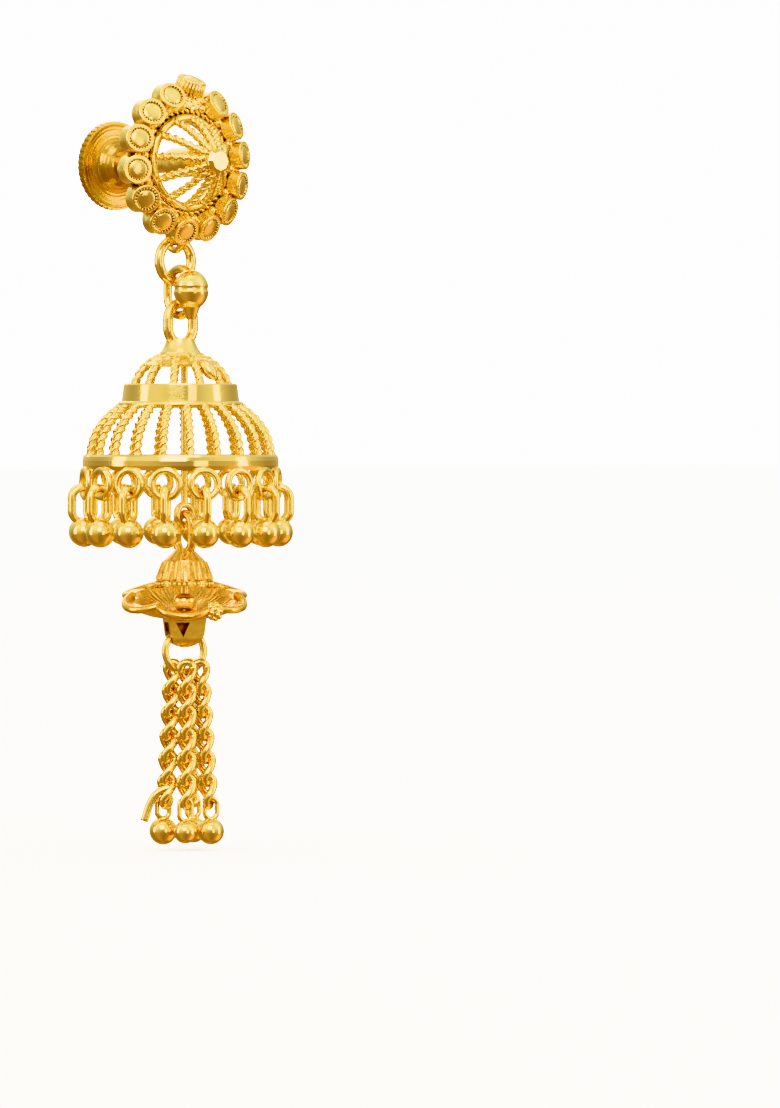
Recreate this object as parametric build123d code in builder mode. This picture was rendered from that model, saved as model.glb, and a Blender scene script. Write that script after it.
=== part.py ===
"""Jhumka earring: a flower stud on a screw post, a domed jhumka cage with a
fringe of balls, and a tassel drop with four short chains.

Millimetres. +Z is up, the stud faces -Y and the post runs along +Y. The origin
is on the post's axis, midway through the gap that the ear lobe fills.
"""

from math import cos, radians, sin
import os

from build123d import *

os.makedirs("parts", exist_ok=True)

# ---------------------------------------------------------------- stud
CUP_COUNT = 14
CUP_RING_R = 5.5
CUP_FACE_Y = -4.6
CUP_R = 1.13
CUP_DEPTH = 0.9
CUP_TILT = 28.0
CUP_BASE_RING_R = 5.25
CUP_BASE_FRONT_Y = -4.15
CUP_START = 187.3
TOP_CUP = 10
TOP_CUP_R = 6.55
TOP_CUP_Y = -3.95
TOP_CUP_TILT = 65.0
STUD_BACK_Y = -3.1
STUD_RING_R = 3.45
STUD_RIBS = 12
RIB_CORE_R = 0.25
POST_R = 0.75
BOSS_R = 1.15
POST_END_Y = 8.0

# ---------------------------------------------------------------- nut
NUT_R = 3.5
NUT_BORE_R = 0.8
NUT_HUB_R = 1.25
NUT_HUB_Y = 2.85
KNURLS = 44

# ---------------------------------------------------------------- hanging line
EYE_Y = -2.55
EYE_Z = -5.97
EYE_R = 0.83
EYE_WIRE_R = 0.28
JUMP_Z = -7.63
JUMP_R = 1.615
JUMP_WIRE_R = 0.41

# ---------------------------------------------------------------- ball link
LINK_X = 0.2
LINK_Y = -2.9
LINK_Z = -10.06
LINK_HALF_W = 1.52
LINK_HALF_H = 1.82
LINK_WIRE_R = 0.36
BALL_X = 0.05
BALL_Y = -4.4
BALL_Z = -9.92
BALL_R = 1.4
BALL_HALF_H = 1.58

# ---------------------------------------------------------------- jhumka cage
JX = 0.4
JY = -2.7
LOOP_Z = -12.52
LOOP_HALF_W = 1.27
LOOP_HALF_H = 1.57
LOOP_WIRE_R = 0.42
UPPER_RIBS = 11
LOWER_RIBS = 21
RING_COUNT = 16
RING_Z = -25.0
RING_RADIAL = 7.6
RING_R = 1.06
RING_WIRE_R = 0.28
VIEW_ANGLE = -130.0
UPPER_PHASE = VIEW_ANGLE - 8.2
LOWER_PHASE = VIEW_ANGLE + 6.3
RING_PHASE = VIEW_ANGLE + 14.0

# ---------------------------------------------------------------- fringe
FRINGE_LOOP_Z = -26.65
FRINGE_LOOP_HALF_W = 0.86
FRINGE_LOOP_HALF_H = 1.35
FRINGE_WIRE_R = 0.3
FRINGE_RADIAL = 7.8
FRINGE_BALL_Z = -28.8
FRINGE_BALL_R = 1.15

# ---------------------------------------------------------------- lower drop
DX = 0.63
DY = -2.89
STEM_R = 0.28
STEM_EYE_Z = -27.43
STEM_EYE_R = 0.78
STEM_EYE_WIRE_R = 0.27
BELL_LOOP_Z = -28.9
BELL_LOOP_HALF_W = 0.9
BELL_LOOP_HALF_H = 1.5
BELL_LOOP_WIRE_R = 0.36
BELL_FLUTES = 24
PIN_R = 0.35
BEAD_R = 0.92
BEAD_HALF_H = 0.55
BEAD_Z = -34.12
LOBES = 6
FLOWER_VALLEY_R = 4.18
FLOWER_TIP_R = 5.05
FLOWER_ROLL_R = 0.3
FLOWER_RIM_Z = -33.9
FLOWER_FLOOR_Z = -35.15
FLOWER_WALL = 0.35
FLOWER_TILT = 12.5
BAIL_ANGLE = -18.0
BAIL_TOP_Z = -35.52
BAIL_LOW_Z = -37.83
BAIL_HALF_W = 1.6
BAIL_ROUND_R = 1.45
BAIL_OUT = 0.75
BAIL_WALL = 0.32
RING4_Z = -38.13
RING4_R = 1.61
RING4_WIRE_R = 0.3

# ---------------------------------------------------------------- chains
FACE_ANGLE = -40.0
CHAIN_WIRE_R = 0.2
CHAIN_HALF_W = 0.52
CHAIN_HALF_H = 1.15
CHAIN_PITCH = 1.78
CHAIN_LINKS = 5
CHAIN_START_Z = -41.89
HOOK_WIRE_R = 0.14
HOOK_HALF_W = 0.7
HOOK_GAP = 0.12
TASSEL_BALL_R = 1.05
TASSEL_BALL_Z = -52.2
STRAY_R = 0.25
LEFT_BALL_R = 1.09
MIDDLE_BALL_R = 0.92

JHUMKA_SIDE = Plane(origin=(JX, JY, 0), x_dir=(1, 0, 0), z_dir=(0, -1, 0))
DROP_SIDE = Plane(origin=(DX, DY, 0), x_dir=(1, 0, 0), z_dir=(0, -1, 0))
JHUMKA_AXIS = Axis((JX, JY, 0), (0, 0, 1))
DROP_AXIS = Axis((DX, DY, 0), (0, 0, 1))


def polar_point(radius, angle, z=0.0):
    """A point on a circle about the Z axis."""
    return (radius * cos(radians(angle)), radius * sin(radians(angle)), z)


def drop_point(across, near, z):
    """A point on the tassel from its offset across the face and towards the front."""
    ax, ay, _ = polar_point(across, FACE_ANGLE)
    nx, ny, _ = polar_point(near, FACE_ANGLE - 90)
    return (DX + ax + nx, DY + ay + ny, z)


def save(piece, name):
    """Label one finished piece and write its STEP file."""
    piece.part.label = name
    export_step(piece.part, f"parts/{name}.step")


def make_wire_loop(plane, half_w, half_h, wire_r):
    """A wire loop with straight sides and round ends, lying in a plane."""
    flat = half_h - half_w
    with BuildPart() as loop:
        with BuildLine(plane) as path:
            Line((half_w, -flat), (half_w, flat))
            CenterArc((0, flat), half_w, 0, 180)
            Line((-half_w, flat), (-half_w, -flat))
            CenterArc((0, -flat), half_w, 180, 180)
        with BuildSketch(Plane(origin=path.line @ 0, z_dir=path.line % 0)):
            Circle(wire_r)
        sweep()
    return loop


def make_cup():
    """One rosette cup along Z: a raised rim round a sunk groove and a low disc."""
    with BuildPart() as cup:
        with BuildSketch():
            Circle(CUP_R)
        extrude(amount=CUP_DEPTH)
        fillet(cup.faces().sort_by(Axis.Z)[-1].edges(), 0.1)
        with BuildSketch(Plane.XY.offset(CUP_DEPTH)):
            Circle(0.86)
            Circle(0.64, mode=Mode.SUBTRACT)
        extrude(amount=-0.25, mode=Mode.SUBTRACT)
        with BuildSketch(Plane.XY.offset(CUP_DEPTH)):
            Circle(0.75)
        extrude(amount=-0.08, mode=Mode.SUBTRACT)
    return cup


def cup_place(number):
    """Where one cup sits: its face leans out from the stud's middle."""
    angle = CUP_START + number * 360 / CUP_COUNT
    top = number == TOP_CUP
    lean = radians(TOP_CUP_TILT if top else CUP_TILT)
    x, z, _ = polar_point(TOP_CUP_R if top else CUP_RING_R, angle)
    out_x, out_z, _ = polar_point(sin(lean), angle)
    facing = Vector(out_x, -cos(lean), out_z)
    face = Vector(x, TOP_CUP_Y if top else CUP_FACE_Y, z)
    return Plane(origin=face - facing * CUP_DEPTH, z_dir=facing).location


def make_stud_rib():
    """One wire of the stud's dome, from the ring to the cap."""
    with BuildPart() as rib:
        with BuildLine() as path:
            ThreePointArc((3.45, -4.05), (2.35, -5.9), (0.7, -7.3))
        with BuildSketch(Plane(origin=path.line @ 0, z_dir=path.line % 0)):
            Circle(RIB_CORE_R)
        sweep()
    return rib


def make_ear_stud():
    """The soldered flower stud with its dome, post and hanging eye."""
    cup = make_cup()
    rib = make_stud_rib()
    cup_places = [cup_place(k) for k in range(CUP_COUNT)]
    base_places = []
    granules = []
    for k in range(CUP_COUNT):
        base_x, base_z, _ = polar_point(CUP_BASE_RING_R, CUP_START + k * 360 / CUP_COUNT)
        base_places.append((base_x, base_z))
        x, z, _ = polar_point(4.4, CUP_START + (k + 0.5) * 360 / CUP_COUNT)
        granules.append((x, -3.85, z))
    with BuildPart() as stud:
        with Locations(*cup_places):
            add(cup.part)
        split(bisect_by=Plane.XZ.offset(-STUD_BACK_Y))
        with BuildSketch(Plane.XZ.offset(-STUD_BACK_Y)):
            with Locations(*base_places):
                Circle(CUP_R - 0.03)
        extrude(amount=STUD_BACK_Y - CUP_BASE_FRONT_Y)
        with BuildSketch(Plane.XZ.offset(-STUD_BACK_Y)):
            Circle(5.5)
            Circle(3.15, mode=Mode.SUBTRACT)
        extrude(amount=0.35)
        with BuildSketch():
            with Locations((STUD_RING_R, -3.6)):
                Rectangle(0.66, 0.9)
            with Locations((STUD_RING_R, -4.05)):
                Circle(0.33)
        revolve(axis=Axis.Y)
        with BuildSketch():
            with BuildLine():
                Polyline(
                    (0, -7.3), (0.75, -7.3), (BOSS_R, -5.2), (BOSS_R, -2.4),
                    (POST_R, -2.4), (POST_R, POST_END_Y - 0.2),
                    (POST_R - 0.2, POST_END_Y), (0, POST_END_Y), close=True,
                )
            make_face()
        revolve(axis=Axis.Y)
        with BuildSketch(Plane.XZ.offset(7.1)):
            RegularPolygon(1.02, 8)
        extrude(amount=0.65)
        with BuildSketch(Plane.XZ.offset(7.75)):
            RegularPolygon(1.02, 8)
        extrude(amount=0.3, taper=40)
        with Locations(*granules):
            Sphere(0.42, rotation=(90, 0, 0))
        with Locations(*[Location((0, 0, 0), (0, 186.6 + 30 * k, 0)) for k in range(STUD_RIBS)]):
            add(rib.part)
        with Locations((0, EYE_Y, EYE_Z)):
            Torus(EYE_R, EYE_WIRE_R, rotation=(0, 90, 0))
    return stud


def make_screw_nut():
    """The lathe-turned screw nut: a flared face, a hub and a knurled rim."""
    with BuildPart() as nut:
        with BuildSketch():
            with BuildLine():
                Polyline(
                    (NUT_BORE_R, 5.6), (NUT_BORE_R, NUT_HUB_Y), (NUT_HUB_R, NUT_HUB_Y),
                    (NUT_HUB_R, 3.5),
                )
                ThreePointArc((NUT_HUB_R, 3.5), (1.75, 4.3), (3.25, 4.6))
                Polyline(
                    (3.25, 4.6), (NUT_R, 4.65), (NUT_R, 5.2), (3.25, 5.35),
                    (1.5, 5.45), (1.35, 5.6), (NUT_BORE_R, 5.6),
                )
            make_face()
        revolve(axis=Axis.Y)
        with BuildSketch(Plane.XZ.offset(-4.4)):
            with PolarLocations(NUT_R + 0.02, KNURLS):
                Circle(0.11)
        extrude(amount=-1.2, mode=Mode.SUBTRACT)
    return nut


def make_jump_ring():
    """The round wire ring in the stud's eye."""
    with BuildPart() as ring:
        with Locations((0, EYE_Y, JUMP_Z)):
            Torus(JUMP_R, JUMP_WIRE_R, rotation=(90, 0, 0))
    return ring


def make_ball_link():
    """The oval link with a barrel ball on its front side."""
    side = Plane(origin=(LINK_X, LINK_Y, LINK_Z), x_dir=(0, 1, 0), z_dir=(1, 0, 0))
    ball = Plane(origin=(BALL_X, BALL_Y, BALL_Z), x_dir=(1, 0, 0), z_dir=(0, -1, 0))
    loop = make_wire_loop(side, LINK_HALF_W, LINK_HALF_H, LINK_WIRE_R)
    with BuildPart() as link:
        add(loop.part)
        with BuildSketch(ball):
            Ellipse(BALL_R, BALL_HALF_H)
            with Locations((BALL_R + 0.42, 0.1)):
                Circle(0.5, mode=Mode.SUBTRACT)
            Polygon((0, -1.3), (0.75, -1.3), (0.35, -2.3), (0, -2.35), align=None)
            with Locations((-BALL_R, 0)):
                Rectangle(2 * BALL_R, 4 * BALL_HALF_H, mode=Mode.SUBTRACT)
        revolve(axis=Axis((BALL_X, BALL_Y, 0), (0, 0, 1)))
    return link


def make_dome_rib(points):
    """One dome wire through points given as radius and height."""
    with BuildPart() as rib:
        with BuildLine(Plane.XZ) as path:
            Spline(*points)
        with BuildSketch(Plane(origin=path.line @ 0, z_dir=path.line % 0)):
            Circle(RIB_CORE_R)
        sweep()
    return rib


def make_jhumka_cage():
    """The soldered two-tier dome with its top loop, bands, rings and inner stem."""
    upper = make_dome_rib([(1.3, -15.0), (2.35, -15.5), (3.05, -16.1), (3.5, -16.75), (3.75, -17.45)])
    lower = make_dome_rib([
        (4.55, -18.85), (5.65, -19.75), (6.33, -20.55), (6.72, -21.2), (6.98, -22.0), (7.15, -23.0),
    ])
    front = Plane(origin=(JX, JY, LOOP_Z), x_dir=(1, 0, 0), z_dir=(0, -1, 0))
    loop = make_wire_loop(front, LOOP_HALF_W, LOOP_HALF_H, LOOP_WIRE_R)
    with BuildPart() as cage:
        add(loop.part)
        with BuildSketch(JHUMKA_SIDE):
            with BuildLine():
                Polyline((0, -15.25), (0, -13.7), (1.1, -13.7))
                ThreePointArc((1.1, -13.7), (1.3, -14.3), (1.6, -14.75))
                Polyline(
                    (1.6, -14.75), (1.72, -15.02), (2.4, -15.32), (2.92, -15.72), (2.84, -15.9),
                    (2.3, -15.62), (1.3, -15.35), (0, -15.35), (0, -15.25),
                )
            make_face()
        revolve(axis=JHUMKA_AXIS)
        with BuildSketch(JHUMKA_SIDE):
            Polygon(
                (3.6, -17.2), (4.36, -17.2), (4.45, -17.32), (4.6, -18.5), (4.62, -18.65),
                (4.1, -18.75), (3.6, -17.6), align=None,
            )
            with Locations((4.66, -18.85)):
                Circle(0.27)
            Polygon(
                (6.95, -22.75), (7.5, -22.75), (7.62, -22.9), (7.68, -23.2), (7.68, -23.6),
                (7.55, -23.95), (6.95, -23.95), align=None,
            )
        revolve(axis=JHUMKA_AXIS)
        with Locations((JX, JY, 0)):
            with PolarLocations(0, UPPER_RIBS, start_angle=UPPER_PHASE):
                add(upper.part)
            with PolarLocations(0, LOWER_RIBS, start_angle=LOWER_PHASE):
                add(lower.part)
        with Locations((JX, JY, RING_Z)):
            with PolarLocations(RING_RADIAL, RING_COUNT, start_angle=RING_PHASE):
                Torus(RING_R, RING_WIRE_R, rotation=(0, 90, 0))
        with Locations((DX, DY, -15.0)):
            Cylinder(STEM_R, 11.65, align=(Align.CENTER, Align.CENTER, Align.MAX))
        with Locations((DX, DY, STEM_EYE_Z)):
            Torus(STEM_EYE_R, STEM_EYE_WIRE_R, rotation=(90, 0, 0))
    return cage


def make_fringe_drop(number):
    """One fringe ball on its wire loop, under ring number 0 to 15."""
    angle = RING_PHASE + number * 360 / RING_COUNT
    outward = polar_point(1, angle)
    cx, cy, _ = polar_point(FRINGE_RADIAL, angle)
    bx, by, _ = polar_point(FRINGE_RADIAL - 0.08, angle)
    side = Plane(
        origin=(JX + cx, JY + cy, FRINGE_LOOP_Z), x_dir=outward, z_dir=(outward[1], -outward[0], 0)
    )
    loop = make_wire_loop(side, FRINGE_LOOP_HALF_W, FRINGE_LOOP_HALF_H, FRINGE_WIRE_R)
    with BuildPart() as drop:
        add(loop.part)
        with Locations(Location((JX + bx, JY + by, FRINGE_BALL_Z), (0, 0, angle + 45))):
            Sphere(FRINGE_BALL_R)
    return drop


def make_bail():
    """The stirrup strap under the flower, with a round bottom and a pierced front leg."""
    side = Plane(
        origin=(DX, DY, 0), x_dir=polar_point(1, BAIL_ANGLE + 90), z_dir=polar_point(1, BAIL_ANGLE)
    )
    front = Plane(
        origin=(DX, DY, 0), x_dir=polar_point(1, BAIL_ANGLE), z_dir=polar_point(1, BAIL_ANGLE - 90)
    )
    bend_z = BAIL_LOW_Z + BAIL_OUT
    inside_z = bend_z + 0.06
    round_z = BAIL_LOW_Z + BAIL_ROUND_R
    inner = BAIL_OUT - BAIL_WALL
    with BuildPart() as bail:
        with BuildSketch(side):
            with Locations((0, bend_z)):
                Circle(BAIL_OUT)
            with Locations((0, (BAIL_TOP_Z + bend_z) / 2)):
                Rectangle(2 * BAIL_OUT, BAIL_TOP_Z - bend_z)
            with Locations((0, inside_z)):
                Circle(inner, mode=Mode.SUBTRACT)
            with Locations((0, (BAIL_TOP_Z - BAIL_WALL + inside_z) / 2)):
                Rectangle(2 * inner, BAIL_TOP_Z - BAIL_WALL - inside_z, mode=Mode.SUBTRACT)
        extrude(amount=BAIL_HALF_W, both=True)
        with BuildSketch(front):
            Polygon(
                (-BAIL_HALF_W, BAIL_TOP_Z + 0.1), (BAIL_HALF_W, BAIL_TOP_Z + 0.1),
                (BAIL_ROUND_R, round_z), (-BAIL_ROUND_R, round_z), align=None,
            )
            with Locations((0, round_z)):
                Circle(BAIL_ROUND_R)
        extrude(amount=1, both=True, mode=Mode.INTERSECT)
        with BuildSketch(front):
            Polygon((-1.02, -35.85), (0.15, -35.85), (-0.4, -37.0), align=None)
        extrude(amount=1, mode=Mode.SUBTRACT)
    return bail


def make_bell_cap():
    """The fluted bell with its top loop, centre pin and stirrup bail."""
    with BuildPart() as flute:
        with BuildLine(Plane.XZ) as slope:
            Line((1.62, -31.15), (2.16, -32.5))
        with BuildSketch(Plane(origin=slope.line @ 0, z_dir=slope.line % 0)):
            Circle(0.17)
        sweep()
    bail = make_bail()
    side = Plane(origin=(DX, DY, BELL_LOOP_Z), x_dir=(0, 1, 0), z_dir=(1, 0, 0))
    loop = make_wire_loop(side, BELL_LOOP_HALF_W, BELL_LOOP_HALF_H, BELL_LOOP_WIRE_R)
    with BuildPart() as bell:
        add(loop.part)
        with BuildSketch(DROP_SIDE):
            Polygon(
                (0, -30.05), (0.6, -30.05), (0.8, -30.25), (1.17, -30.6), (1.54, -30.97),
                (1.82, -31.4), (2.02, -31.85), (2.16, -32.45), (2.28, -32.6), (2.26, -33.0),
                (1.95, -33.0), (1.85, -32.5), (1.6, -31.9), (1.25, -31.45), (PIN_R, -31.4),
                (PIN_R, BAIL_TOP_Z - 0.1), (0, BAIL_TOP_Z - 0.1), align=None,
            )
        revolve(axis=DROP_AXIS)
        with Locations((DX, DY, 0)):
            with PolarLocations(0, BELL_FLUTES):
                add(flute.part)
        add(bail.part)
    return bell


def make_drop_bead():
    """The smooth oval bead on the pin."""
    side = Plane(origin=(DX, DY, BEAD_Z), x_dir=(1, 0, 0), z_dir=(0, -1, 0))
    with BuildPart() as bead:
        with BuildSketch(side):
            Ellipse(BEAD_R, BEAD_HALF_H)
            with Locations((-BEAD_R + PIN_R + 0.1, 0)):
                Rectangle(2 * BEAD_R, 4 * BEAD_HALF_H, mode=Mode.SUBTRACT)
        revolve(axis=DROP_AXIS)
    return bead


def lobe_arc(lobe, valley_r, tip_r, valley_z, tip_z):
    """The three points of one lobe's arc: valley, tip and the next valley."""
    first = 60 * lobe - 30
    return (
        polar_point(valley_r, first, valley_z), polar_point(tip_r, first + 30, tip_z),
        polar_point(valley_r, first + 60, valley_z),
    )


def flower_layers(inset, lift):
    """Sketches of the lobed bowl from its floor to its rim."""
    sections = []
    layers = [
        (2.1, 2.35, FLOWER_FLOOR_Z), (3.3, 3.75, FLOWER_FLOOR_Z + 0.4),
        (FLOWER_VALLEY_R, FLOWER_TIP_R, FLOWER_RIM_Z),
    ]
    for valley_r, tip_r, z in layers:
        with BuildSketch(Plane((0, 0, z + lift))) as section:
            with BuildLine():
                for lobe in range(LOBES):
                    ThreePointArc(*lobe_arc(lobe, valley_r - inset, tip_r - inset, 0, 0))
            make_face()
        sections.append(section.sketch)
    return sections


def make_flower_cup():
    """The scalloped dish with a rolled rim."""
    with BuildPart() as cup:
        loft(flower_layers(0, 0))
        loft(flower_layers(FLOWER_WALL, FLOWER_WALL), mode=Mode.SUBTRACT)
        for lobe in range(LOBES):
            points = lobe_arc(
                lobe, FLOWER_VALLEY_R - 0.1, FLOWER_TIP_R - 0.05, FLOWER_RIM_Z + 0.2, FLOWER_RIM_Z - 0.25
            )
            with BuildLine() as rim:
                ThreePointArc(*points)
            with BuildSketch(Plane(origin=rim.line @ 0, z_dir=rim.line % 0)):
                Circle(FLOWER_ROLL_R)
            sweep(path=rim.line)
            with Locations(points[0]):
                Sphere(FLOWER_ROLL_R)
        with Locations((0, 0, FLOWER_FLOOR_Z)):
            Cylinder(PIN_R + 0.18, 2, mode=Mode.SUBTRACT)
    return cup


def make_tassel_ring():
    """The wire ring that carries the chains."""
    with BuildPart() as ring:
        with Locations(Location((DX, DY, RING4_Z), (0, 0, BAIL_ANGLE))):
            Torus(RING4_R, RING4_WIRE_R, rotation=(90, 0, 0))
    return ring


def make_curb_link(twist):
    """One wire link about the Z axis; its ends are turned apart by twice the twist."""
    flat = CHAIN_HALF_H - CHAIN_HALF_W
    sides = []
    for x in (CHAIN_HALF_W, -CHAIN_HALF_W):
        sides.append([polar_point(x, twist * k / 3, flat * k / 3) for k in range(-3, 4)])
    bends = []
    for turn, z, start in ((twist, flat, 0), (-twist, -flat, 180)):
        across = polar_point(1, turn)
        bends.append((Plane(origin=(0, 0, z), x_dir=across, z_dir=(across[1], -across[0], 0)), start))
    with BuildPart() as link:
        for points in sides:
            with BuildLine() as side:
                Spline(*points, tangents=[(0, 0, 1), (0, 0, 1)])
            with BuildSketch(Plane(origin=side.line @ 0, z_dir=side.line % 0)):
                Circle(CHAIN_WIRE_R)
            sweep(path=side.line)
        for plane, start in bends:
            with BuildLine(plane) as bend:
                CenterArc((0, 0), CHAIN_HALF_W, start, 180)
            with BuildSketch(Plane(origin=bend.line @ 0, z_dir=bend.line % 0)):
                Circle(CHAIN_WIRE_R)
            sweep(path=bend.line)
    return link


# Each strand: the angle where it hooks the tassel ring, then where its first
# curb link and its last one sit, as offsets across the face and to the front.
STRANDS = [
    (-34.5, (-1.22, 0.1), (-1.62, -0.3)),
    (-11.5, (0.05, 1.0), (0.05, 1.0)),
    (34.5, (1.32, -0.05), (1.95, 0.1)),
    (11.5, (0.3, -1.38), (0.6, -1.8)),
]


def strand_ends(strand):
    """Centres of a strand's first and last curb links."""
    _, start, end = STRANDS[strand]
    last_z = CHAIN_START_Z - CHAIN_PITCH * (CHAIN_LINKS - 1)
    return Vector(*drop_point(*start, CHAIN_START_Z)), Vector(*drop_point(*end, last_z))


def make_hook_link(strand):
    """The plain link between the tassel ring and a strand's first curb link."""
    first, last = strand_ends(strand)
    up = (first - last).normalized()
    angle = STRANDS[strand][0]
    across, down, _ = polar_point(RING4_R, angle - 90)
    ring_x, ring_y, _ = polar_point(across, BAIL_ANGLE)
    wire = Vector(DX + ring_x, DY + ring_y, RING4_Z + down)
    bend = first + up * CHAIN_HALF_H
    lean = (wire - bend).normalized()
    level = Vector(*polar_point(1, BAIL_ANGLE))
    hang = (lean - level * (lean - up).dot(level)).normalized()
    low = bend - hang * (CHAIN_WIRE_R + HOOK_GAP + HOOK_WIRE_R)
    lean = (wire - low).normalized()
    high = wire + lean * (RING4_WIRE_R + 1.5 * HOOK_GAP + HOOK_WIRE_R)
    side = Vector(*polar_point(1, BAIL_ANGLE - 90))
    side = side - lean * side.dot(lean)
    plane = Plane(origin=(high + low) * 0.5, x_dir=side, z_dir=side.cross(lean))
    return make_wire_loop(plane, HOOK_HALF_W, (high - low).length / 2, HOOK_WIRE_R)


def make_chain(strand):
    """One strand: a plain hook link, then twisted curb links."""
    hook = make_hook_link(strand)
    twisted = make_curb_link(45)
    first, last = strand_ends(strand)
    up = (first - last).normalized()
    side = Vector(*polar_point(1, BAIL_ANGLE - 45))
    places = []
    for k in range(CHAIN_LINKS):
        centre = first + (last - first) * (k / (CHAIN_LINKS - 1))
        places.append(Plane(origin=centre, x_dir=side - up * side.dot(up), z_dir=up).location)
    with BuildPart() as chain:
        add(hook.part)
        with Locations(*places):
            add(twisted.part)
        if strand == 0:
            root = last - places[-1].x_axis.direction * CHAIN_HALF_W
            with BuildLine() as stray:
                Spline(root, drop_point(-2.7, 0.3, -49.92), drop_point(-3.2, 0.4, -51.4))
            with BuildSketch(Plane(origin=stray.line @ 0, z_dir=stray.line % 0)):
                Circle(STRAY_R)
            sweep(path=stray.line)
    return chain


def make_tassel_ball(strand):
    """The ball that ends one strand, on its wire loop."""
    radius = {0: LEFT_BALL_R, 1: MIDDLE_BALL_R}.get(strand, TASSEL_BALL_R)
    first, last = strand_ends(strand)
    last = last - (first - last).normalized() * CHAIN_HALF_H
    loop_top = last.Z + 2 * CHAIN_WIRE_R + 0.12
    loop_low = TASSEL_BALL_Z + radius - 0.1
    side = Plane(
        origin=(last.X, last.Y, (loop_top + loop_low) / 2), x_dir=polar_point(1, BAIL_ANGLE),
        z_dir=polar_point(1, BAIL_ANGLE - 90),
    )
    loop = make_wire_loop(side, 0.52, (loop_top - loop_low) / 2, CHAIN_WIRE_R)
    with BuildPart() as drop:
        add(loop.part)
        with Locations((last.X, last.Y, TASSEL_BALL_Z)):
            Sphere(radius)
    return drop


save(make_ear_stud(), "ear_stud")
save(make_screw_nut(), "screw_nut")
save(make_jump_ring(), "jump_ring")
save(make_ball_link(), "ball_link")
save(make_jhumka_cage(), "jhumka_cage")
for number in range(RING_COUNT):
    save(make_fringe_drop(number), f"fringe_drop_{number + 1:02d}")
save(make_bell_cap(), "bell_cap")
save(make_drop_bead(), "drop_bead")

flower = make_flower_cup()
seat = Location((DX, DY, FLOWER_FLOOR_Z), (0, 0, FACE_ANGLE)) * Location((0, 0, 0), (FLOWER_TILT, 0, 0))
flower.part = seat * Location((0, 0, -FLOWER_FLOOR_Z), (0, 0, 30)) * flower.part
save(flower, "flower_cup")

save(make_tassel_ring(), "tassel_ring")
for strand in range(len(STRANDS)):
    save(make_chain(strand), f"chain_{strand + 1}")
    save(make_tassel_ball(strand), f"tassel_ball_{strand + 1}")
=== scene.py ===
"""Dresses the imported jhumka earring: gold finishes, twisted wires, milled cups,
curb-link chains, camera and studio light. Shapes are worked out in millimetres in
the CAD frame and turned into metres when their mesh is made; angles are in degrees."""

import math

import bmesh
import bpy
from mathutils import Matrix, Quaternion, Vector


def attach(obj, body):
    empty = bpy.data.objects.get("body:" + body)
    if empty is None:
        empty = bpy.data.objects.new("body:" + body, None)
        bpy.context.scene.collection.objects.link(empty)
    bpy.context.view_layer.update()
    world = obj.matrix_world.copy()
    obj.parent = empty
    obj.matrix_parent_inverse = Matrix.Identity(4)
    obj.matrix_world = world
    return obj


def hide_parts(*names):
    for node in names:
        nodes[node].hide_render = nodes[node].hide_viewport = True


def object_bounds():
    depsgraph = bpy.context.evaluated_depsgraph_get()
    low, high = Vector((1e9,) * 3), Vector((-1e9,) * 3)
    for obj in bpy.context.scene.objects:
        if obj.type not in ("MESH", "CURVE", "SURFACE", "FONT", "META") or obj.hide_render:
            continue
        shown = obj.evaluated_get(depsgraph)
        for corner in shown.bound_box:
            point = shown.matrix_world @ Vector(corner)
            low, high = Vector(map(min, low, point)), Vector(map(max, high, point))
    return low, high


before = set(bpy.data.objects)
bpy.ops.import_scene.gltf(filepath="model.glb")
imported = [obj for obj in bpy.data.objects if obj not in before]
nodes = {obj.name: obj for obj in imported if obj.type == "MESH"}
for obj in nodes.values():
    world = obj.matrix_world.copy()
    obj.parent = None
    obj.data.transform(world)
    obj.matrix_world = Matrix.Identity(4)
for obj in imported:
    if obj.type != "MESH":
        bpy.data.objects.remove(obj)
cad_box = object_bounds()
scene = bpy.context.scene
MM = 0.001

# ------------------------------------------------------------------ places in the CAD frame
JHUMKA = Vector((0.4, -2.7, 0))  # the dome's axis
DROP = Vector((0.63, -2.89, 0))  # the axis of the bell, the flower and the chains
VIEW_ANGLE = -130  # from the earring towards the camera
FACE_ANGLE = -40  # across the picture, to its right
BAIL_ANGLE = -18  # along the bail's plate
CAP_Y = -7.05  # the stud's faceted cap lies in front of this
BRIGHT_BANDS = (-18.6, -17.2), (-23.97, -22.75)  # the cage's two bands, low and high z

# ------------------------------------------------------------------ materials
GOLD = (1.0, 0.84, 0.33)
GOLD_DEEP = (0.86, 0.54, 0.1)
DEEP_SHARE = 0.2  # how much of the deep gold is in the cloudy areas
CLOUD_SCALE = 420
GLOSS_SCALE = 900
# Painted shade: what the colour is multiplied by, from deep in a recess to the open.
PAINTED_SHADE_STOPS = (0.05, (0.68, 0.4, 0.16)), (0.35, (0.9, 0.76, 0.55)), (0.65, (1, 1, 1))
SMOOTH_GLOSS = 0.5  # the share of roughness that is left where a finish is smooth
SMOOTH_GRAIN = 0.15
BUMP_UNIT = 0.1
LATHE_RATE = 22
LATHE_HEIGHT = 0.35
RAYS = 54
RAY_HEIGHT = 0.6
RAY_FADE = 3.3, 4.0


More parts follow.
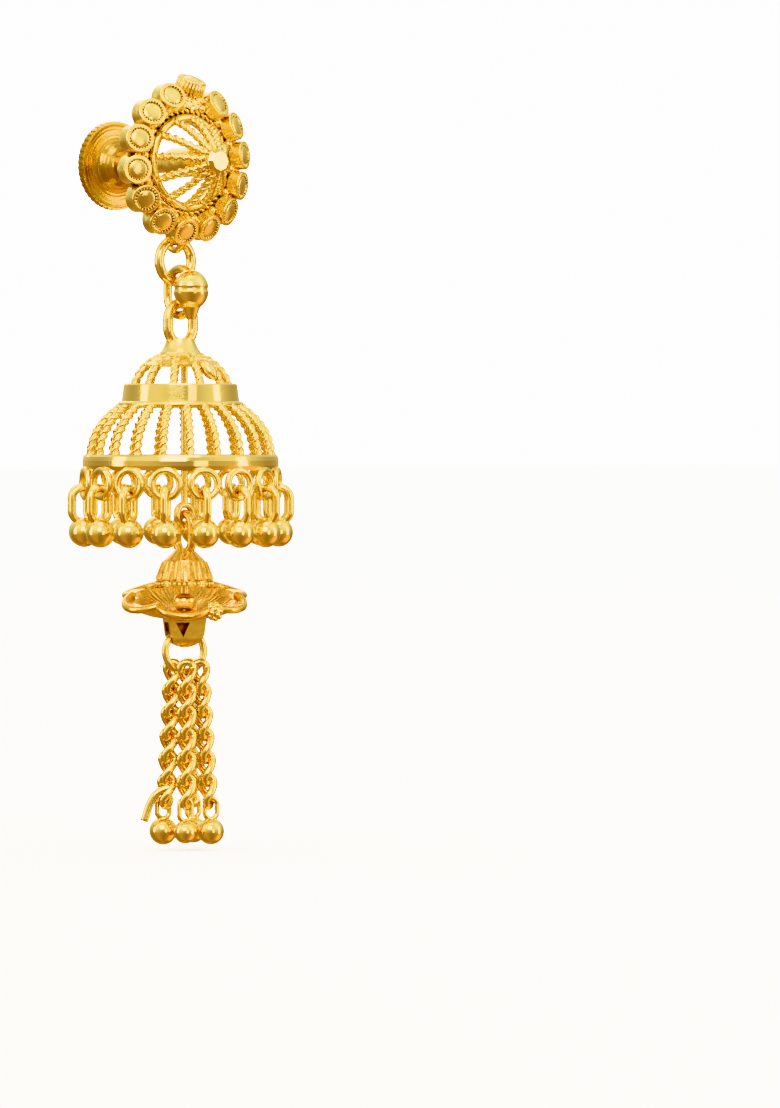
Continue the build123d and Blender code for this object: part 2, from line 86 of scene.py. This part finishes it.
class Nodes:
    """Fills one node tree, which it empties first."""

    def __init__(self, tree):
        self.tree = tree
        tree.nodes.clear()

    def add(self, kind, **props):
        node = self.tree.nodes.new(kind)
        for key, value in props.items():
            setattr(node, key, value)
        return node

    def link(self, source, target):
        self.tree.links.new(source, target)

    def math(self, operation, *values):
        """A math node whose inputs are numbers or other nodes' outputs."""
        node = self.add("ShaderNodeMath", operation=operation)
        for socket, value in zip(node.inputs, values):
            if isinstance(value, (int, float)):
                socket.default_value = value
            else:
                self.link(value, socket)
        return node.outputs[0]

    def radius(self, a, b):
        squares = [self.math("MULTIPLY", side, side) for side in (a, b)]
        return self.math("SQRT", self.math("ADD", *squares))

    def ramp(self, fac, stops):
        node = self.add("ShaderNodeValToRGB")
        elements = node.color_ramp.elements
        while len(elements) < len(stops):
            elements.new(0.5)
        for element, (pos, colour) in zip(elements, stops):
            element.position = pos
            element.color = (*colour, 1)
        self.link(fac, node.inputs["Fac"])
        return node.outputs["Color"]


class Mat(Nodes):
    """A new material with one Principled shader."""

    def __init__(self, name):
        self.material = bpy.data.materials.new(name)
        self.material.use_nodes = True
        super().__init__(self.material.node_tree)
        out = self.add("ShaderNodeOutputMaterial")
        self.bsdf = self.add("ShaderNodeBsdfPrincipled")
        self.link(self.bsdf.outputs["BSDF"], out.inputs["Surface"])
        self.coord = self.add("ShaderNodeTexCoord").outputs["Object"]

    def place(self, centre=Vector()):
        """The point's three coordinates in millimetres, from a given centre."""
        node = self.add("ShaderNodeSeparateXYZ")
        self.link(self.coord, node.inputs[0])
        return [
            self.math("MULTIPLY_ADD", out, 1 / MM, -middle)
            for out, middle in zip(node.outputs, centre)
        ]

    def noise(self, scale, detail):
        node = self.add("ShaderNodeTexNoise")
        node.inputs["Scale"].default_value = scale
        node.inputs["Detail"].default_value = detail
        self.link(self.coord, node.inputs["Vector"])
        return node.outputs["Fac"]

    def remap(self, value, low, high, to_low, to_high):
        node = self.add("ShaderNodeMapRange")
        sockets = "From Min", "From Max", "To Min", "To Max"
        for socket, number in zip(sockets, (low, high, to_low, to_high)):
            node.inputs[socket].default_value = number
        self.link(value, node.inputs["Value"])
        return node.outputs["Result"]

    def recess(self, distance):
        """How open the surface is: 1 in the open, near 0 deep in a recess."""
        node = self.add("ShaderNodeAmbientOcclusion", samples=6)
        node.inputs["Distance"].default_value = distance * MM
        return node.outputs["AO"]

    def bump(self, height, distance):
        node = self.add("ShaderNodeBump")
        node.inputs["Strength"].default_value = 1.0
        node.inputs["Distance"].default_value = distance * MM
        self.link(height, node.inputs["Height"])
        self.link(node.outputs["Normal"], self.bsdf.inputs["Normal"])


def gold(
    name, roughness, spread, bump, grain=2600, reach=0.8, shade_tint=(1, 1, 1), pattern=None, smooth=None
):
    """Plated gold: its colour and gloss vary softly, painted shade makes its recesses a deeper
    orange and it has a fine cast grain. reach is how far off a recess's other side may be
    for the painted shade, and tone darkens and warms a part's colour as painted shade.
    pattern and smooth take the Mat and return a height and a mask."""
    mat = Mat(name)
    mat.bsdf.inputs["Metallic"].default_value = 1.0
    clean = tuple(g * t for g, t in zip(GOLD, shade_tint))
    worn = tuple(
        ((1 - DEEP_SHARE) * g + DEEP_SHARE * d) * t for g, d, t in zip(GOLD, GOLD_DEEP, shade_tint)
    )
    cloud = mat.ramp(mat.noise(CLOUD_SCALE, 3), ((0.3, worn), (0.7, clean)))
    # Painted shade: the colour is darkened and made more orange deep in recesses.
    shade = mat.ramp(mat.recess(reach), PAINTED_SHADE_STOPS)
    mix = mat.add("ShaderNodeMix", data_type="RGBA", blend_type="MULTIPLY")
    mix.inputs["Factor"].default_value = 1.0
    mat.link(cloud, mix.inputs["A"])
    mat.link(shade, mix.inputs["B"])
    mat.link(mix.outputs["Result"], mat.bsdf.inputs["Base Color"])
    gloss = mat.remap(
        mat.noise(GLOSS_SCALE, 2), 0.3, 0.7, roughness - spread, roughness + spread
    )
    height = mat.noise(grain, 3)
    if smooth:
        mask = smooth(mat)
        gloss = mat.math("MULTIPLY", gloss, mat.remap(mask, 0, 1, 1, SMOOTH_GLOSS))
        height = mat.math("MULTIPLY", height, mat.remap(mask, 0, 1, 1, SMOOTH_GRAIN))
    if pattern:
        height = mat.math("ADD", height, pattern(mat))
    mat.link(gloss, mat.bsdf.inputs["Roughness"])
    mat.bump(height, bump * BUMP_UNIT)
    return mat.material


def band_mask(mat):
    """A mask that is 1 on the cage's two bright bands."""
    z = mat.place()[2]
    bands = [
        mat.math("COMPARE", z, (low + high) / 2, (high - low) / 2) for low, high in BRIGHT_BANDS
    ]
    return mat.math("ADD", *bands)


def cap_mask(mat):
    """A mask that is 1 on the stud's faceted cap."""
    return mat.math("LESS_THAN", mat.place()[1], CAP_Y)


def lathe_rings(mat):
    """Turning marks round the post's axis."""
    x, _, z = mat.place()
    wave = mat.math("SINE", mat.math("MULTIPLY", mat.radius(x, z), LATHE_RATE))
    return mat.math("MULTIPLY", wave, LATHE_HEIGHT)


def flower_rays(mat):
    """Fine grooves that run from the flower's middle to its rim."""
    x, y, _ = mat.place(DROP)
    rays = mat.math("SINE", mat.math("MULTIPLY", mat.math("ARCTAN2", y, x), RAYS))
    return mat.math("MULTIPLY", rays, mat.remap(mat.radius(x, y), *RAY_FADE, RAY_HEIGHT, 0.0))


# Each finish's roughness, the spread of it and the bump, then its grain and reach.
SATIN = gold("gold_satin", 0.2, 0.05, 0.22)
CAST = gold("gold_cast", 0.24, 0.06, 0.45, 1900, 0.45, smooth=cap_mask)
CAGE = gold("gold_cage", 0.22, 0.05, 0.25, smooth=band_mask)
# The nut behind the stud, the bell under the dome and the flower's hollow are tinted darker and
# more orange: painted shade.
TURNED = gold("gold_turned", 0.2, 0.03, 0.25, shade_tint=(0.64, 0.5, 0.26), pattern=lathe_rings)
BELL = gold("gold_bell", 0.2, 0.05, 0.4, 1500, 1.8, shade_tint=(0.92, 0.78, 0.55))
RAYED = gold("gold_rayed", 0.2, 0.05, 0.5, 1500, 2.2, (0.9, 0.76, 0.52), pattern=flower_rays)
WIRE = gold("gold_wire", 0.15, 0.04, 0.1)
ROPE = gold("gold_rope", 0.17, 0.04, 0.1, reach=0.45)
# Near-black orange for the plate behind the bail's cut: painted shadow.
SHADOW_PLATE_GOLD = gold("gold_painted_shadow", 0.35, 0.05, 0.5, 1500, shade_tint=(0.36, 0.17, 0.05))
POLISHED = gold("gold_polished", 0.16, 0.03, 0.05)

FINISHES = {
    "ear_stud": CAST, "screw_nut": TURNED, "jhumka_cage": CAGE, "bell_cap": BELL,
    "flower_cup": RAYED, "jump_ring": WIRE, "tassel_ring": WIRE, "ball_link": SATIN,
}
for name, node in nodes.items():
    node.data.materials.clear()
    node.data.materials.append(FINISHES.get(name, POLISHED))

# ------------------------------------------------------------------ mesh tools, in millimetres
ROPE_STRANDS = 2
ROPE_SIDES = 7
GOLDEN_ANGLE = 137.5  # from one grain to the next, so that they lie evenly


def polar(radius, degrees, z=0.0):
    """A point round +Z, its angle counted from +X."""
    angle = math.radians(degrees)
    return Vector((radius * math.cos(angle), radius * math.sin(angle), z))


def raised(z):
    return Vector((0, 0, z))


def smooth_path(points, steps):
    """Points along a smooth curve through the given ones, so many to a span."""
    knots = [points[0] * 2 - points[1], *points, points[-1] * 2 - points[-2]]
    path = []
    for a, b, c, d in zip(knots, knots[1:], knots[2:], knots[3:]):
        first, second, third = c - a, a * 2 - b * 5 + c * 4 - d, b * 3 - a - c * 3 + d
        for k in range(steps):
            t = k / steps
            path.append(b + (first * t + second * t * t + third * t ** 3) * 0.5)
    return [*path, points[-1]]


def circle_path(centre, radius, normal, count):
    """Points round a circle about a normal."""
    first = normal.orthogonal().normalized() * radius
    turn = 2 * math.pi / count
    return [centre + Quaternion(normal, turn * k) @ first for k in range(count)]


def cross_sections(path, closed):
    """Two unit vectors across the path at each of its points, without twist."""
    if closed:
        before, after = path[-1:] + path[:-1], path[1:] + path[:1]
    else:
        before, after = path[:1] + path[:-1], path[1:] + path[-1:]
    ahead = [(b - a).normalized() for a, b in zip(before, after)]
    side = ahead[0].orthogonal().normalized()
    sections = []
    for last, now in zip([ahead[0], *ahead], ahead):
        side = last.rotation_difference(now) @ side
        side = (side - now * side.dot(now)).normalized()
        sections.append((side, now.cross(side)))
    if closed:
        # The turn by which the two ends miss each other is shared out along the path.
        end = ahead[-1].rotation_difference(ahead[0]) @ sections[-1][0]
        first_side, first_up = sections[0]
        slip = math.atan2(end.dot(first_up), end.dot(first_side))
        turns = [Quaternion(v, -slip * k / len(path)) for k, v in enumerate(ahead)]
        sections = [(turn @ side, turn @ up) for turn, (side, up) in zip(turns, sections)]
    return sections


def add_tube(bm, path, radius, sides=8, closed=False):
    """A round wire along a path."""
    turns = [2 * math.pi * k / sides for k in range(sides)]
    rings = []
    for point, (side, up) in zip(path, cross_sections(path, closed)):
        spots = [point + (side * math.cos(t) + up * math.sin(t)) * radius for t in turns]
        rings.append([bm.verts.new(spot) for spot in spots])
    for ring, after in zip(rings, rings[1:] + rings[:1] if closed else rings[1:]):
        for k in range(sides):
            n = (k + 1) % sides
            bm.faces.new((ring[k], ring[n], after[n], after[k]))
    if not closed:
        bm.faces.new(rings[0][::-1])
        bm.faces.new(rings[-1])


def add_rope(bm, path, offset, strand_r, pitch, closed=False):
    """Strands that wind round a path."""
    steps = [(b - a).length for a, b in zip(path, path[1:] + path[:1] if closed else path[1:])]
    if closed:
        pitch = sum(steps) / round(sum(steps) / pitch)
    travel = [sum(steps[:k]) for k in range(len(path))]
    sections = cross_sections(path, closed)
    for strand in range(ROPE_STRANDS):
        wound = []
        for point, (side, up), run in zip(path, sections, travel):
            turn = 2 * math.pi * (run / pitch + strand / ROPE_STRANDS)
            wound.append(point + (side * math.cos(turn) + up * math.sin(turn)) * offset)
        add_tube(bm, wound, strand_r, ROPE_SIDES, closed)


def add_ball(bm, centre, radius, scale=(1, 1, 1), turn=Quaternion(), segments=12):
    """A ball, or an ellipsoid turned into place."""
    place = Matrix.Translation(centre) @ turn.to_matrix().to_4x4() @ Matrix.Diagonal((*scale, 1))
    bmesh.ops.create_uvsphere(
        bm, u_segments=segments, v_segments=segments // 2 + 1, radius=radius, matrix=place
    )


def spokes(facing, count):
    """Unit vectors evenly round an axis."""
    side = facing.orthogonal().normalized()
    return [Quaternion(facing, 2 * math.pi * k / count) @ side for k in range(count)]


def turn_to(across, facing):
    """The turn that takes +X and +Z to two vectors at right angles."""
    return Matrix((across, facing.cross(across), facing)).transposed().to_quaternion()


def piece(name, bm, body, material, *replaced):
    """Turn a millimetre mesh into a named piece that rides on a body."""
    bmesh.ops.recalc_face_normals(bm, faces=bm.faces)
    for face in bm.faces:
        face.smooth = True
    mesh = bpy.data.meshes.new(name)
    bm.to_mesh(mesh)
    bm.free()
    mesh.transform(Matrix.Scale(MM, 4))
    mesh.materials.append(material)
    made = bpy.data.objects.new(name, mesh)
    scene.collection.objects.link(made)
    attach(made, body)
    if replaced:
        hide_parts(*replaced)


# ------------------------------------------------------------------ stud
CUPS = 14
CUP_START = 187.3
TOP_CUP = 10
# How far a cup leans out, then its face's distance from the axis and its y.
CUP_SEAT = 28, 5.5, -4.6
TOP_CUP_SEAT = 65, 6.55, -3.95

DOME_WIRES = 12
DOME_START = 186.6
# A dome wire's distance from the axis and its y, from the ring up to the cap.
DOME_PROFILE = (3.5, -4.1), (3.02, -5.1), (2.35, -5.9), (1.57, -6.65), (0.85, -7.2)
# A rope's strands: their distance from its middle, their radius and their pitch.
DOME_ROPE = 0.2, 0.17, 1.25
# Each ring's radius, y, number of steps and rope.
RING_ROPES = (4.02, -3.78, 270, (0.16, 0.15, 1.1)), (4.62, -3.72, 300, (0.13, 0.12, 0.9))
# The two balls between neighbouring cups: distance from the axis, y and radius.
BETWEEN_CUPS = (4.4, -4.1, 0.36), (5.0, -4.0, 0.26)

TEETH = 22
TOOTH_SEAT = 0.87  # from the middle of the cup's face
TOOTH_DEPTH = 0.06
TOOTH_R = 0.1
TOOTH_SCALE = 1.5, 0.7, 0.9
DISC_DEPTH = 0.1
DISC_R = 0.74
DISC_SCALE = 1, 1, 0.2

RIDGES = 26
RIDGE_SEAT = 1.12
RIDGE_DEPTHS = 1.15, 0.12
RIDGE_R = 0.085

PATCH_GRAINS = 22
PATCH_SEAT = 4.95
PATCH_Y = -4.12
PATCH_SPACING = 0.23
PATCH_GRAIN_R = 0.17


def stud_out(degrees):
    """The unit vector out from the post's axis, counted from +X towards +Z."""
    out = polar(1, degrees)
    return Vector((out.x, 0, out.y))


def cup_out(number):
    return stud_out(CUP_START + number * 360 / CUPS)


def on_stud(out, radius, y):
    return out * radius + Vector((0, y, 0))


def cup_seat(number):
    """The middle of a cup's face and the way it looks."""
    lean, radius, y = TOP_CUP_SEAT if number == TOP_CUP else CUP_SEAT
    lean = math.radians(lean)
    out = cup_out(number)
    return on_stud(out, radius, y), on_stud(out, math.sin(lean), -math.cos(lean))


bm = bmesh.new()
for k in range(DOME_WIRES):
    out = stud_out(-DOME_START - k * 360 / DOME_WIRES)
    points = [on_stud(out, radius, y) for radius, y in DOME_PROFILE]
    add_rope(bm, smooth_path(points, 14), *DOME_ROPE)
piece("stud_dome_ropes", bm, "stud", ROPE)

bm = bmesh.new()
for radius, y, steps, rope in RING_ROPES:
    circle = circle_path(Vector((0, y, 0)), radius, Vector((0, -1, 0)), steps)
    add_rope(bm, circle, *rope, closed=True)
for k in range(CUPS):
    for seat, y, radius in BETWEEN_CUPS:
        add_ball(bm, on_stud(cup_out(k + 0.5), seat, y), radius)
piece("stud_ring_ropes", bm, "stud", ROPE)

bm = bmesh.new()
for k in range(CUPS):
    face, facing = cup_seat(k)
    for spoke in spokes(facing, TEETH):
        tooth = face + spoke * TOOTH_SEAT - facing * TOOTH_DEPTH
        add_ball(bm, tooth, TOOTH_R, TOOTH_SCALE, turn_to(spoke, facing), 8)
    turn = turn_to(facing.orthogonal().normalized(), facing)
    add_ball(bm, face - facing * DISC_DEPTH, DISC_R, DISC_SCALE, turn, 24)
piece("stud_cup_faces", bm, "stud", SATIN)

bm = bmesh.new()
face, facing = cup_seat(TOP_CUP)
for spoke in spokes(facing, RIDGES):
    ridge = [face + spoke * RIDGE_SEAT - facing * depth for depth in RIDGE_DEPTHS]
    add_tube(bm, ridge, RIDGE_R)
piece("stud_top_cup_milling", bm, "stud", SATIN)

bm = bmesh.new()
out = cup_out(TOP_CUP)
aside = Vector((-out.z, 0, out.x))
for k in range(PATCH_GRAINS):
    turn, r = math.radians(k * GOLDEN_ANGLE), PATCH_SPACING * math.sqrt(k)
    grain = on_stud(out, PATCH_SEAT + r * math.cos(turn), PATCH_Y) + aside * r * math.sin(turn)
    add_ball(bm, grain, PATCH_GRAIN_R, segments=8)
piece("stud_granule_patch", bm, "stud", ROPE)

# ------------------------------------------------------------------ jhumka dome
# A wire's distance from the axis and its z, from its top down.
UPPER = (1.38, -15.05), (2.35, -15.5), (3.05, -16.1), (3.5, -16.75), (3.75, -17.4)
LOWER = (
    (4.6, -18.9), (5.65, -19.75), (6.33, -20.55), (6.72, -21.2), (6.98, -22.0), (7.13, -22.85),
)
UPPER_WIRES = 11
UPPER_START = VIEW_ANGLE - 8.2
LOWER_WIRES = 21
LOWER_START = VIEW_ANGLE + 6.3
JHUMKA_ROPE = 0.2, 0.17, 1.3
# The solder blob's place, and the two points that set which way it is stretched.
BLOB = 3.22, VIEW_ANGLE + 42, -16.1
BLOB_TOP = 2.5, VIEW_ANGLE + 38, -15.4
BLOB_FOOT = 3.75, VIEW_ANGLE + 44, -16.9
BLOB_R = 0.56
BLOB_SCALE = 1, 1, 1.8


def add_dome_ropes(bm, profile, count, start):
    for k in range(count):
        points = [JHUMKA + polar(r, start + k * 360 / count, z) for r, z in profile]
        add_rope(bm, smooth_path(points, 10), *JHUMKA_ROPE)


bm = bmesh.new()
add_dome_ropes(bm, UPPER, UPPER_WIRES, UPPER_START)
piece("jhumka_upper_ropes", bm, "drop", ROPE)

bm = bmesh.new()
along = (polar(*BLOB_FOOT) - polar(*BLOB_TOP)).normalized()
turn = raised(1).rotation_difference(along)
add_ball(bm, JHUMKA + polar(*BLOB), BLOB_R, BLOB_SCALE, turn, 16)
piece("jhumka_solder_blob", bm, "drop", SATIN)

bm = bmesh.new()
add_dome_ropes(bm, LOWER, LOWER_WIRES, LOWER_START)
piece("jhumka_lower_ropes", bm, "drop", ROPE)

# ------------------------------------------------------------------ bell and flower
RIM_BEADS = 36
RIM_R = 2.2
RIM_Z = -32.82
RIM_BEAD_R = 0.14
RIM_BEAD_SCALE = 1, 1, 1.3

BEAD_Z = -34.24
BEAD_R = 0.95
BEAD_SCALE = 1, 1, 0.72

# The dark plate behind the cut in the bail is a painted shadow, put where the cut shows only
# shade:
# its two faces' distances from the axis, and its corners along the bail and up.
SHADOW_PLATE_FACES = 0.34, 0.4
SHADOW_PLATE_CORNERS = (-1.15, -35.78), (0.28, -35.78), (-0.4, -37.25)

LUMP = DROP + polar(4.6, VIEW_ANGLE + 30, -34.9)
LUMP_R = 0.62
LUMP_GRAINS = 22
LUMP_GRAIN_R = 0.23
LUMP_GRAIN_OUT = 0.54
LUMP_GRAIN_UP = 0.6

bm = bmesh.new()
for k in range(RIM_BEADS):
    bead = DROP + polar(RIM_R, k * 360 / RIM_BEADS, RIM_Z)
    add_ball(bm, bead, RIM_BEAD_R, RIM_BEAD_SCALE, segments=8)
piece("bell_rim_beads", bm, "lower_drop", SATIN)

bm = bmesh.new()
add_ball(bm, DROP + raised(BEAD_Z), BEAD_R, BEAD_SCALE, segments=32)
piece("drop_bead_dome", bm, "lower_drop", POLISHED)

bm = bmesh.new()
bail_along, bail_near = polar(1, BAIL_ANGLE), polar(1, BAIL_ANGLE - 90)
corners = [
    bm.verts.new(DROP + bail_along * w + bail_near * near + raised(z))
    for near in SHADOW_PLATE_FACES
    for w, z in SHADOW_PLATE_CORNERS
]
for indices in ((0, 1, 2), (5, 4, 3), (0, 3, 4, 1), (1, 4, 5, 2), (2, 5, 3, 0)):
    bm.faces.new([corners[index] for index in indices])
piece("bail_cut_shadow_plate", bm, "lower_drop", SHADOW_PLATE_GOLD)

bm = bmesh.new()
add_ball(bm, LUMP, LUMP_R)
for k in range(LUMP_GRAINS):
    lift = 1 - 2 * (k + 0.5) / LUMP_GRAINS
    level = math.sqrt(1 - lift * lift)
    grain = polar(LUMP_GRAIN_OUT * level, k * GOLDEN_ANGLE, LUMP_GRAIN_UP * lift)
    add_ball(bm, LUMP + grain, LUMP_GRAIN_R, segments=8)
piece("flower_granules", bm, "lower_drop", ROPE)

# ------------------------------------------------------------------ chains
LINK_HALF_W = 0.52
LINK_HALF_H = 1.2
LINK_WIRE_R = 0.32
LINK_TWIST = 58
LINKS = 6
FIRST_LINK_Z = -40.15
LAST_LINK_Z = -49.05
# Each strand's turn, then its first and last link as offsets across the face and
# towards the front.
STRANDS = (
    (-104, (-0.95, 0.1), (-1.4, -0.1)),
    (-98, (0.17, 0.75), (0.15, 0.9)),
    (-92, (1.25, -0.05), (1.8, 0.1)),
    (-110, (0.3, -0.9), (0.55, -1.6)),
)
# The stray wire end on the first strand: across, towards the front and z.
LOOSE_END = (
    (-1.14, 0.2, -48.75), (-2.07, 0.3, -49.14), (-2.66, 0.35, -49.92), (-3.17, 0.4, -51.4),
)


def on_face(across, near, z):
    return DROP + polar(across, FACE_ANGLE) + polar(near, VIEW_ANGLE) + raised(z)


def link_path(centre, up, side):
    """A twisted curb link's closed centre line."""
    flat = LINK_HALF_H - LINK_HALF_W
    outline = [(LINK_HALF_W, flat * k / 4) for k in range(-4, 4)]
    for k in range(8):
        turn = math.pi * k / 8
        outline.append((LINK_HALF_W * math.cos(turn), flat + LINK_HALF_W * math.sin(turn)))
    outline += [(-w, -h) for w, h in outline]
    path = []
    for w, h in outline:
        twist = math.radians(LINK_TWIST) * max(-1, min(1, h / flat))
        path.append(centre + (Quaternion(up, twist) @ side) * w + up * h)
    return path


for number, (angle, start, end) in enumerate(STRANDS, 1):
    first, last = on_face(*start, FIRST_LINK_Z), on_face(*end, LAST_LINK_Z)
    up = (first - last).normalized()
    side = polar(1, angle)
    side = (side - up * side.dot(up)).normalized()
    bm = bmesh.new()
    for k in range(LINKS):
        centre = first.lerp(last, k / (LINKS - 1))
        add_tube(bm, link_path(centre, up, side), LINK_WIRE_R, 10, True)
    if number == 1:
        loose = [on_face(*place) for place in LOOSE_END]
        add_tube(bm, smooth_path(loose, 8), LINK_WIRE_R, 12)
    piece(f"chain_strand_{number}", bm, "lower_drop", WIRE, f"chain_{number}")

# ------------------------------------------------------------------ camera, in metres
ANCHOR = Vector((0, -4.3, 0)) * MM  # the middle of the stud's flower
# The picture's middle, across and up from the anchor, and how much it shows there.
PICTURE_ACROSS = 15.6 * MM
PICTURE_UP = -30.498 * MM
PICTURE_HEIGHT = 86.424 * MM
CAMERA_DISTANCE = 0.5
CAMERA_UP = -0.02
SENSOR_MM = 36

picture = ANCHOR + polar(PICTURE_ACROSS, FACE_ANGLE) + raised(PICTURE_UP)
camera = bpy.data.objects.new("camera", bpy.data.cameras.new("camera"))
scene.collection.objects.link(camera)
camera.location = ANCHOR + polar(CAMERA_DISTANCE, VIEW_ANGLE, CAMERA_UP)
sight = picture - camera.location
camera.rotation_mode = "QUATERNION"
camera.rotation_quaternion = sight.to_track_quat("-Z", "Y")
camera.data.sensor_width = SENSOR_MM
camera.data.lens = SENSOR_MM * sight.length / PICTURE_HEIGHT
camera.data.clip_start, camera.data.clip_end = 0.01, 20
scene.camera = camera

# ------------------------------------------------------------------ light, in metres
# What the metal mirrors, from straight below to straight above.
STUDIO_STOPS = (
    (0.0, (0.44, 0.22, 0.07)), (0.36, (0.46, 0.28, 0.12)), (0.5, (0.58, 0.45, 0.26)),
    (0.64, (0.76, 0.69, 0.5)), (0.86, (1.1, 1.08, 0.98)), (1.0, (0.72, 0.66, 0.52)),
)
PANELS = 3  # brighter stretches round the horizon
PANEL_SWING = 0.25
# A bright spot low on the right: the way to it, its edge and how bright it is.
LOW_SPOT = 0.64, -0.43, -0.63
LOW_SPOT_SLOPE = 9
LOW_SPOT_OFFSET = -7.8
LOW_SPOT_GAIN = 1.8
BACKDROP_STRENGTH = 6.0  # the plain white that camera and diffuse rays meet
LAMP_TARGET = ANCHOR + raised(-23.166 * MM)
LAMP_DISTANCE = 0.6
LAMP_COLOUR = 1.0, 0.9, 0.7
# Each lamp's azimuth, elevation, width, height and brightness.
LAMPS = {
    "key": (-48, 30, 0.3, 0.26, 7.6),
    "left": (-118, 15, 0.16, 0.5, 4.5),
    "front": (-16, 4, 0.16, 0.3, 2.2),
    "right": (38, 6, 0.14, 0.5, 4.5),
    "top": (-40, 78, 0.3, 0.3, 4.0),
    "rear": (150, 30, 0.3, 0.3, 4.0),
}

scene.view_settings.view_transform = "Khronos PBR Neutral"
world = bpy.data.worlds.new("studio")
scene.world = world
world.use_nodes = True
sky = Nodes(world.node_tree)
split = sky.add("ShaderNodeSeparateXYZ")
sky.link(sky.add("ShaderNodeTexCoord").outputs["Generated"], split.inputs[0])
x, y, z = split.outputs
mirrored = sky.ramp(sky.math("MULTIPLY_ADD", z, 0.5, 0.5), STUDIO_STOPS)
wave = sky.math("SINE", sky.math("MULTIPLY", sky.math("ARCTAN2", x, y), PANELS))
shares = [sky.math("MULTIPLY", axis, share) for axis, share in zip((x, y, z), LOW_SPOT)]
spot = sky.math("ADD", sky.math("ADD", shares[0], shares[1]), shares[2])
spot = sky.math("MULTIPLY_ADD", spot, LOW_SPOT_SLOPE, LOW_SPOT_OFFSET)
spot = sky.math("MULTIPLY", sky.math("MAXIMUM", spot, 0), LOW_SPOT_GAIN)
strength = sky.math("ADD", sky.math("MULTIPLY_ADD", wave, PANEL_SWING, 1.0), spot)
rays = sky.add("ShaderNodeLightPath").outputs
plain = sky.math("MAXIMUM", rays["Is Camera Ray"], rays["Is Diffuse Ray"])
studio = sky.add("ShaderNodeBackground")
sky.link(mirrored, studio.inputs["Color"])
sky.link(strength, studio.inputs["Strength"])
white = sky.add("ShaderNodeBackground")
white.inputs["Strength"].default_value = BACKDROP_STRENGTH
mix = sky.add("ShaderNodeMixShader")
sky.link(plain, mix.inputs["Fac"])
sky.link(studio.outputs[0], mix.inputs[1])
sky.link(white.outputs[0], mix.inputs[2])
sky.link(mix.outputs[0], sky.add("ShaderNodeOutputWorld").inputs[0])

for name, (azimuth, elevation, width, tall, radiance) in LAMPS.items():
    data = bpy.data.lights.new(name, "AREA")
    data.shape = "RECTANGLE"
    data.size, data.size_y = width, tall
    data.energy = radiance * math.pi * width * tall
    data.color = LAMP_COLOUR
    lamp = bpy.data.objects.new(name, data)
    scene.collection.objects.link(lamp)
    a, e = math.radians(azimuth), math.radians(elevation)
    towards = Vector((math.sin(a) * math.cos(e), -math.cos(a) * math.cos(e), math.sin(e)))
    lamp.location = LAMP_TARGET + towards * LAMP_DISTANCE
    lamp.rotation_mode = "QUATERNION"
    lamp.rotation_quaternion = towards.to_track_quat("Z", "Y")
    lamp.visible_camera = False

# ------------------------------------------------------------------ floor, in metres
FLOOR_Z = cad_box[0].z - 0.4 * MM
FLOOR_CORNERS = (-3, -3), (3, -3), (3, 3), (-3, 3)
PAPER_STOPS = (0.3, (0.92, 0.92, 0.93)), (0.7, (0.95, 0.95, 0.96))

mesh = bpy.data.meshes.new("floor")
mesh.from_pydata([(x, y, FLOOR_Z) for x, y in FLOOR_CORNERS], [], [(0, 1, 2, 3)])
floor = bpy.data.objects.new("floor", mesh)
scene.collection.objects.link(floor)
floor.visible_glossy = False
paper = Mat("floor_paper")
paper.bsdf.inputs["Roughness"].default_value = 0.6
paper.link(paper.ramp(paper.noise(3, 2), PAPER_STOPS), paper.bsdf.inputs["Base Color"])
mesh.materials.append(paper.material)
